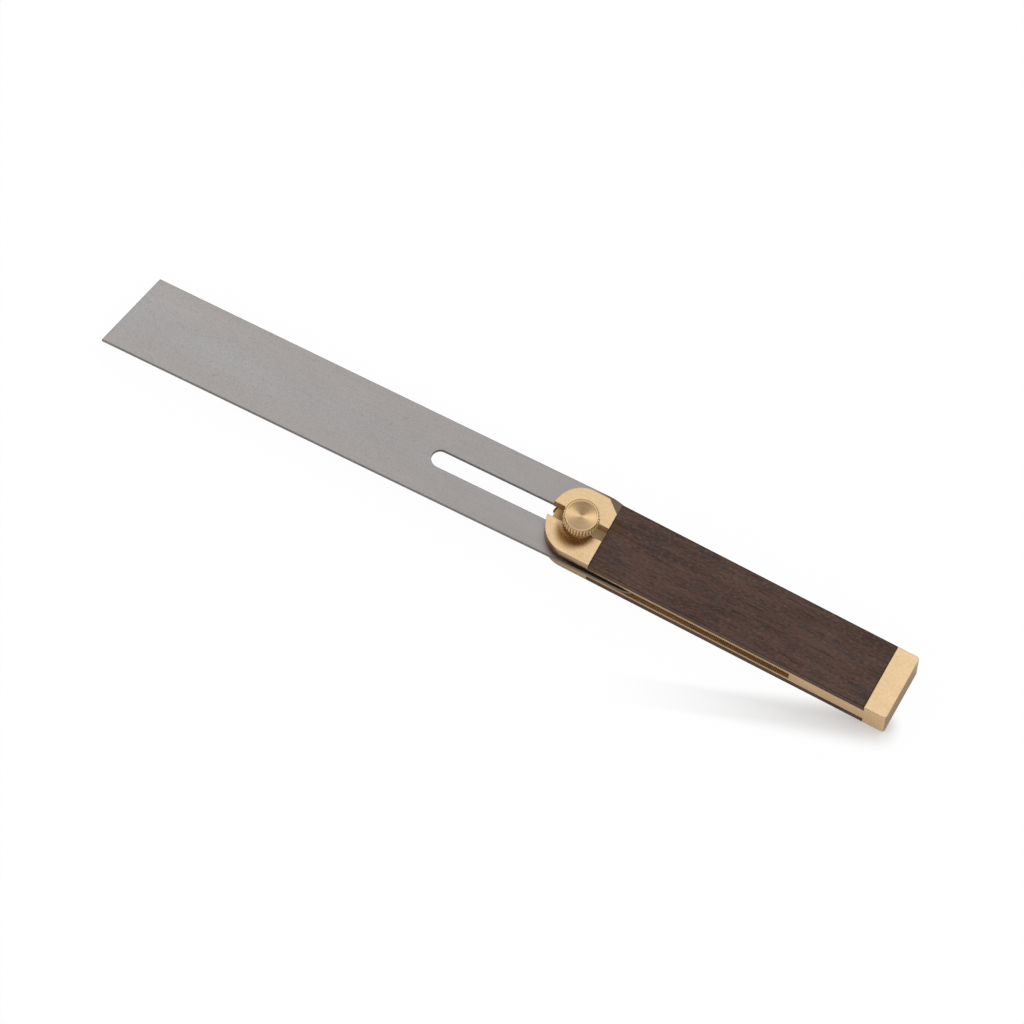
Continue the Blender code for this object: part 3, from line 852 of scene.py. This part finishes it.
def make_satin_brass(effects):
    """Brass rubbed to a satin along the stock: fine mottle, a breath of tarnish, edges toned, and painted
    shade beside the nut, on the sides and butt end, and in the notch and slot.
    """
    material, tree, shader, place = new_material("Satin brass", 1.0)
    shader.inputs["Specular Tint"].default_value = BRASS_AT_A_GLANCE
    lines = place_group(tree, effects["grain"], Vector=place, Fineness=BRASS_LINE_FINENESS)["Lines"]
    edge = place_group(tree, effects["edges"], Vector=place, Width=BRASS_EDGE_WIDTH)["Edge"]
    marks = place_group(tree, effects["marks"], Vector=place)
    flecks = place_group(tree, effects["mottle"], Vector=place, Fineness=BRASS_MOTTLE_FINENESS)
    faces = place_group(tree, effects["sides"])
    axes = axes_of(tree, place)
    patterns = {"blush": flecks["Blush"], "mottle": flecks["Mottle"], "lines": lines}
    color = layered(tree, BRASS_LIGHT, patterns, BRASS_TONES)
    color = stained(tree, color, marks["Specks"], BRASS_SPECK_SHARE, BRASS_STAIN)
    rubbed = spread(tree, edge, *BRASS_EDGE_RANGE)
    color = stained(tree, color, rubbed, BRASS_EDGE_SHARE, BRASS_STAIN)
    # Painted shadow of the nut on the ear
    color = blend(tree, painted_nut_shadow(tree, place), color, darkened(tree, color, NUT_SHADOW_PAINT))
    color, toned = paint_side_shade(tree, faces, axes, color)
    in_notch, in_slot = find_milled(tree, faces, axes)
    toned = tone_milled(tree, place, axes, color, toned, in_notch, in_slot)
    join(tree, shader, "Base Color", toned)
    inside = math_of(tree, "MAXIMUM", in_notch, in_slot)
    join(tree, shader, "Metallic", spread(tree, inside, 0.0, 1.0, 1.0, MILLED_METALLIC))
    rough = spread(tree, flecks["Mottle"], *MIDDLE_HALF, *BRASS_ROUGHNESS)
    rough = math_of(tree, "ADD", rough, times(tree, marks["Scratches"], BRASS_SCRATCH_ROUGHNESS))
    join(tree, shader, "Roughness", between(tree, inside, rough, MILLED_ROUGHNESS))
    height = math_of(tree, "ADD", times(tree, lines, BRASS_LINE_RELIEF), flecks["Mottle"])
    height = math_of(tree, "SUBTRACT", height, times(tree, marks["Scratches"], BRASS_SCRATCH_RELIEF))
    add_relief(tree, shader, height, BRASS_BUMP, BRASS_BUMP_HEIGHT)
    return material


def start_turned_brass(name, effects, metallic, fineness, deep, pale):
    """Brass turned in a lathe: fine rings round the pivot's axis, bright edges and a few specks.

    Gives the material, its tree, shader and centred place, the rings' outputs and the colour so far.
    """
    material, tree, shader, place = new_material(name, metallic, origin=PIVOT)
    turned = place_group(tree, effects["rings"], Vector=place, Fineness=fineness)
    edge = place_group(tree, effects["edges"], Vector=place, Width=TURNED_EDGE_WIDTH)["Edge"]
    specks = place_group(tree, effects["marks"], Vector=place)["Specks"]
    color = blend(tree, spread(tree, turned["Rings"], *RING_RANGE), deep, pale)
    color = stained(tree, color, edge, TURNED_EDGE_SHARE, BRASS_BRIGHT)
    color = stained(tree, color, specks, TURNED_SPECK_SHARE, BRASS_STAIN)
    shader.inputs["Anisotropic"].default_value = TURNED_ANISOTROPY
    shader.inputs["Anisotropic Rotation"].default_value = QUARTER_TURN
    tangent = put(tree, "ShaderNodeTangent", direction_type="RADIAL", axis="Z")
    join(tree, shader, "Tangent", tangent.outputs[0])
    add_relief(tree, shader, turned["Rings"], TURNED_BUMP, TURNED_BUMP_HEIGHT)
    return material, tree, shader, place, turned, color


def shade_in_ribs(tree, axes, radius, on_wall):
    """Where shade is painted on the nut: between the ribs, and in the line outside the rim."""
    angle = math_of(tree, "ARCTAN2", axes["Y"], axes["X"])
    wave = math_of(tree, "COSINE", times(tree, angle, float(RIB_COUNT)))
    ribs = times(tree, spread(tree, wave, *RIB_BETWEEN), on_wall)
    line = times(tree, spread(tree, radius, *RIM_LINE_INNER), spread(tree, radius, *RIM_LINE_OUTER))
    return math_of(tree, "MAXIMUM", ribs, times(tree, line, RIM_LINE_SHARE))


def make_nut_brass(effects):
    """The nut: a bright turned dish, pale rib crests, painted shade between the ribs, in the line outside the
    rim and under the ribs.
    """
    start = start_turned_brass("Turned brass", effects, 1.0, DISH_FINENESS, DISH_DEEP, DISH_PALE)
    material, tree, shader, place, turned, color = start
    axes = axes_of(tree, place)
    on_wall = spread(tree, turned["Radius"], *RIB_WALL)
    groove_shade = shade_in_ribs(tree, axes, turned["Radius"], on_wall)
    color = blend(tree, on_wall, color, RIB_CREST)
    # Painted shade on the nut's foot
    color = blend(tree, spread(tree, axes["Z"], *FOOT_Z), color, FOOT_SHADE_PAINT)
    # Painted shade between the ribs and outside the rim
    color = stained(tree, color, groove_shade, RIB_GROOVE_SHADE_SHARE, RIB_GROOVE_SHADE)
    join(tree, shader, "Base Color", color)
    rough = spread(tree, turned["Rings"], *MIDDLE_HALF, *DISH_ROUGHNESS)
    join(tree, shader, "Roughness", between(tree, on_wall, rough, RIB_ROUGHNESS))
    return material


def make_washer_brass(effects):
    """The washers: dull turned faces, with painted shade at the notch's open end and beside the nut."""
    start = start_turned_brass(
        "Faced brass washers", effects, WASHER_METALLIC, WASHER_FINENESS, WASHER_DULL, WASHER_DULL_LINE
    )
    material, tree, shader, place, turned, color = start
    by_nut = spread(tree, turned["Radius"], *BY_NUT_RADIUS)
    shaded = darkened(tree, color, blend(tree, by_nut, OPEN_END_SHADE, BY_NUT_SHADE))
    color = blend(tree, spread(tree, axes_of(tree, place)["X"], *OPEN_END), color, shaded)
    join(tree, shader, "Base Color", color)
    join(tree, shader, "Roughness", spread(tree, turned["Rings"], *MIDDLE_HALF, *WASHER_ROUGHNESS))
    return material


def make_ground_steel(effects):
    """Steel ground along the blade: fine lines, a bluer band down the middle, painted shade on its edge faces,
    growing toward the pivot and darkest inside the stock.
    """
    material, tree, shader, place = new_material("Ground steel", 1.0, origin=PIVOT, turn=BLADE_ANGLE)
    ground = place_group(tree, effects["grain"], Vector=place, Fineness=STEEL_LINE_FINENESS)
    edge = place_group(tree, effects["edges"], Vector=place, Width=STEEL_EDGE_WIDTH)["Edge"]
    marks = place_group(tree, effects["marks"], Vector=place)
    mottle = place_group(tree, effects["mottle"], Vector=place, Fineness=STEEL_MOTTLE_FINENESS)["Mottle"]
    side = place_group(tree, effects["sides"])["Side"]
    axes = axes_of(tree, place)
    wander = times(tree, ground["Clouds"], BLUE_BAND_WANDER)
    aside = math_of(tree, "ADD", math_of(tree, "ABSOLUTE", axes["Y"]), wander)
    middle = spread(tree, aside, *BLUE_BAND, 0.0, BLUE_BAND_SHARE)
    patterns = {"clouds": ground["Clouds"], "lines": ground["Lines"], "mottle": mottle}
    color = layered(tree, blend(tree, middle, STEEL_WARM, STEEL_BLUE), patterns, STEEL_TONES)
    color = stained(tree, color, marks["Specks"], STEEL_SPECK_SHARE, STEEL_STAIN)
    toward_pivot_shade = spread(tree, axes["X"], *SHADE_TOWARD_PIVOT, 0.0, PIVOT_SHADE_SHARE)
    color = blend(tree, toward_pivot_shade, color, STEEL_DEEP)
    wear_and_shade = spread(tree, edge, *STEEL_EDGE_RANGE)
    color = stained(tree, color, wear_and_shade, STEEL_EDGE_SHARE, STEEL_STAIN)
    color = blend(tree, side, color, darkened(tree, color, STEEL_SIDE_SHADE))
    tail_shade = spread(tree, axes["X"], *TAIL_SHADE_FROM_PIVOT, 0.0, TAIL_SHADE_SHARE)
    join(tree, shader, "Base Color", blend(tree, tail_shade, color, STEEL_TAIL_SHADE))
    rough = spread(tree, ground["Lines"], *MIDDLE_HALF, *STEEL_ROUGHNESS)
    rough = math_of(tree, "ADD", rough, times(tree, marks["Scratches"], STEEL_SCRATCH_ROUGHNESS))
    join(tree, shader, "Roughness", rough)
    scratches = times(tree, marks["Scratches"], STEEL_SCRATCH_RELIEF)
    height = math_of(tree, "SUBTRACT", ground["Lines"], scratches)
    add_relief(tree, shader, height, STEEL_BUMP, STEEL_BUMP_HEIGHT)
    return material


def make_dark_wood(name, effects, origin, turn):
    """Oiled dark wood, its grain along the stock, darker on its edges, with painted shade on its side faces.
    """
    material, tree, shader, place = new_material(name, 0.0, origin=origin, turn=turn)
    grain = place_group(tree, effects["wood"], Vector=place)
    edge = place_group(tree, effects["edges"], Vector=place, Width=WOOD_EDGE_WIDTH)["Edge"]
    side = place_group(tree, effects["sides"])["Side"]
    color = blend(tree, side, grain["Color"], darkened(tree, grain["Color"], WOOD_SIDE_SHADE))
    oiled = spread(tree, edge, *WOOD_EDGE_RANGE)
    join(tree, shader, "Base Color", stained(tree, color, oiled, WOOD_EDGE_SHARE, WOOD_PORE))
    rough = spread(tree, grain["Fibres"], *MIDDLE_HALF, *WOOD_ROUGHNESS)
    rough = math_of(tree, "ADD", rough, times(tree, grain["Pores"], WOOD_PORE_ROUGHNESS))
    join(tree, shader, "Roughness", rough)
    shader.inputs["Specular IOR Level"].default_value = WOOD_SPECULAR
    height = math_of(tree, "SUBTRACT", times(tree, grain["Fibres"], WOOD_FIBRE_RELIEF), grain["Pores"])
    add_relief(tree, shader, height, WOOD_BUMP, WOOD_BUMP_HEIGHT)
    return material


def dress(piece, body, node, material):
    """Gives a piece its finish and its body, and hides the CAD node it stands for."""
    piece.data.materials.clear()
    piece.data.materials.append(material)
    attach(piece, body)
    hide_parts(node)


def make_pieces():
    """Every piece of the bevel, finished and dressed."""
    effects = {
        "grain": make_grain_group(),
        "mottle": make_mottle_group(),
        "edges": make_edge_group(),
        "marks": make_marks_group(),
        "rings": make_rings_group(),
        "wood": make_wood_group(),
        "sides": make_sides_group(),
    }
    satin = make_satin_brass(effects)
    turned = make_nut_brass(effects)
    faced = make_washer_brass(effects)
    steel = make_ground_steel(effects)
    top_wood = make_dark_wood("Dark wood, top", effects, TOP_WOOD_ORIGIN, TOP_WOOD_TURN)
    bottom_wood = make_dark_wood("Dark wood, bottom", effects, BOTTOM_WOOD_ORIGIN, BOTTOM_WOOD_TURN)
    stock = finished_copy("brass_stock", "milled_stock", STOCK_EDGE)
    dress(stock, "stock", "brass_stock", satin)
    top = finished_copy("top_scale", "top_wood_scale", SCALE_EDGE)
    dress(top, "stock", "top_scale", top_wood)
    bottom = finished_copy("bottom_scale", "bottom_wood_scale", SCALE_EDGE)
    dress(bottom, "stock", "bottom_scale", bottom_wood)
    blade = finished_copy("blade", "slotted_blade", BLADE_EDGE)
    dress(blade, "blade", "blade", steel)
    upper = make_washer("upper_washer", "upper_friction_washer")
    dress(upper, "pivot_washers", "upper_washer", faced)
    lower = make_washer("lower_washer", "lower_friction_washer")
    dress(lower, "pivot_washers", "lower_washer", faced)
    small = make_washer("nut_washer", "small_nut_washer")
    dress(small, "nut_washer", "nut_washer", faced)
    dress(make_bolt(), "bolt", "clamp_bolt", satin)
    dress(make_thumb_nut(), "thumb_nut", "thumb_nut", turned)


def make_camera():
    """A long lens at the photograph's viewing angle."""
    level = Vector((math.cos(CAMERA_AZIMUTH), math.sin(CAMERA_AZIMUTH), 0.0))
    outward = Vector((level.y, -level.x, 0.0))
    back = outward * math.cos(CAMERA_ELEVATION) + Vector((0.0, 0.0, math.sin(CAMERA_ELEVATION)))
    up = back.cross(level)
    right = level * math.cos(CAMERA_ROLL) + up * math.sin(CAMERA_ROLL)
    above = up * math.cos(CAMERA_ROLL) - level * math.sin(CAMERA_ROLL)
    camera = bpy.data.objects.new("camera", bpy.data.cameras.new("camera"))
    bpy.context.scene.collection.objects.link(camera)
    camera.data.sensor_width = SENSOR_WIDTH
    camera.data.lens = LENS
    camera.data.clip_start = CAMERA_DISTANCE / CLIP_RANGE
    camera.data.clip_end = CAMERA_DISTANCE * CLIP_RANGE
    place = Matrix((right, above, back)).transposed().to_4x4()
    place.translation = SIGHT_POINT + back * CAMERA_DISTANCE
    camera.matrix_world = place
    bpy.context.scene.camera = camera


def special_rays(tree):
    """Masks of the rays that show the background itself, and of those that metal reflects."""
    path = put(tree, "ShaderNodeLightPath").outputs
    shown = math_of(tree, "MAXIMUM", path["Is Camera Ray"], path["Is Transmission Ray"])
    return shown, path["Is Glossy Ray"]


def floor_glow(tree):
    """How near the floor is to plain white: held back in the streak of shadow, which narrows and fades."""
    spot = put(tree, "ShaderNodeTexCoord").outputs["Object"]
    streak = SHADOW_TO - SHADOW_FROM
    ahead = vector_math(tree, "SUBTRACT", {0: spot, 1: SHADOW_FROM})[0]
    along = vector_math(tree, "DOT_PRODUCT", {0: ahead, 1: streak / streak.length_squared})["Value"]
    share_along = put(tree, "ShaderNodeClamp", {0: along}).outputs[0]
    nearest = vector_math(tree, "SCALE", {0: streak, "Scale": share_along})[0]
    apart = vector_math(tree, "DISTANCE", {0: ahead, 1: nearest})["Value"]
    narrows = spread(tree, share_along, 0.0, 1.0, 1.0, SHADOW_NARROWS)
    apart = math_of(tree, "DIVIDE", apart, narrows)
    glow = spread(tree, apart, *SHADOW_REACH, FLOOR_GLOW_IN_SHADOW, FLOOR_GLOW_FAR)
    fading = times(tree, spread(tree, share_along, *SHADOW_FADES), FLOOR_GLOW_FAR)
    return math_of(tree, "MAXIMUM", glow, fading)


def make_floor():
    """A pale floor that stays nearly white and keeps a light shadow; from below it is clear."""
    bpy.ops.object.select_all(action="DESELECT")
    bpy.ops.mesh.primitive_plane_add(size=FLOOR_SIZE, location=(0.0, 0.0, 0.0))
    floor = bpy.context.active_object
    floor.name = "floor"
    material = bpy.data.materials.new("Pale floor")
    material.use_nodes = True
    tree = material.node_tree
    tree.nodes.remove(tree.nodes["Principled BSDF"])
    leave = tree.nodes["Material Output"].inputs
    shown, glossy = special_rays(tree)
    in_metal = times(tree, glossy, FLOOR_GLOW_IN_METAL)
    share = math_of(tree, "ADD", times(tree, shown, floor_glow(tree)), in_metal)
    shine = put(tree, "ShaderNodeEmission", {"Color": PURE_WHITE, "Strength": GLOW_WHITE}).outputs[0]
    matt = put(tree, "ShaderNodeBsdfDiffuse", {"Color": FLOOR_COLOR}).outputs[0]
    above = put(tree, "ShaderNodeMixShader", {0: share, 1: matt, 2: shine}).outputs[0]
    clear = put(tree, "ShaderNodeBsdfTransparent").outputs[0]
    below = put(tree, "ShaderNodeNewGeometry").outputs["Backfacing"]
    surface = put(tree, "ShaderNodeMixShader", {0: below, 1: above, 2: clear}).outputs[0]
    tree.links.new(surface, leave["Surface"])
    floor.data.materials.append(material)


def make_world():
    """A studio dome that is bright over the far side and dim behind the camera; white where it shows."""
    world = bpy.data.worlds.new("Studio dome")
    bpy.context.scene.world = world
    world.use_nodes = True
    tree = world.node_tree
    background = tree.nodes["Background"].inputs
    direction = put(tree, "ShaderNodeTexCoord").outputs["Generated"]
    toward = (-math.sin(DOME_TURN), math.cos(DOME_TURN), 0.0)
    across = vector_math(tree, "DOT_PRODUCT", {0: direction, 1: toward})["Value"]
    fall = spread(tree, across, *DOME_SETS, 1.0, DOME_FALL)
    bright = put(tree, "ShaderNodeCombineColor", {0: fall, 1: fall, 2: fall}).outputs[0]
    dome = blend(tree, spread(tree, across, *DOME_RISE), DOME_DARK, bright)
    dome = blend(tree, spread(tree, across, *DOME_BACK), dome, DOME_BEHIND)
    shown, glossy = special_rays(tree)
    color = blend(tree, shown, blend(tree, glossy, PURE_WHITE, dome), PURE_WHITE)
    level = between(tree, shown, between(tree, glossy, DOME_SOFT, DOME_BRIGHT), GLOW_WHITE)
    tree.links.new(color, background["Color"])
    tree.links.new(level, background["Strength"])


def make_lamp(name, place, power, size):
    """A soft light that faces the pivot."""
    lamp = bpy.data.objects.new(name, bpy.data.lights.new(name, "AREA"))
    bpy.context.scene.collection.objects.link(lamp)
    lamp.data.shape = "RECTANGLE"
    lamp.data.size, lamp.data.size_y = size
    lamp.data.energy = power
    lamp.location = place
    lamp.rotation_mode = "QUATERNION"
    lamp.rotation_quaternion = (place - PIVOT).to_track_quat("Z", "Y")


make_pieces()
make_camera()
make_floor()
make_world()
make_lamp("far_soft_light", LAMP_PLACE, LAMP_POWER, LAMP_SIZE)
make_lamp("near_soft_light", SIDE_LAMP_PLACE, SIDE_LAMP_POWER, SIDE_LAMP_SIZE)
bpy.context.scene.view_settings.view_transform = "Standard"
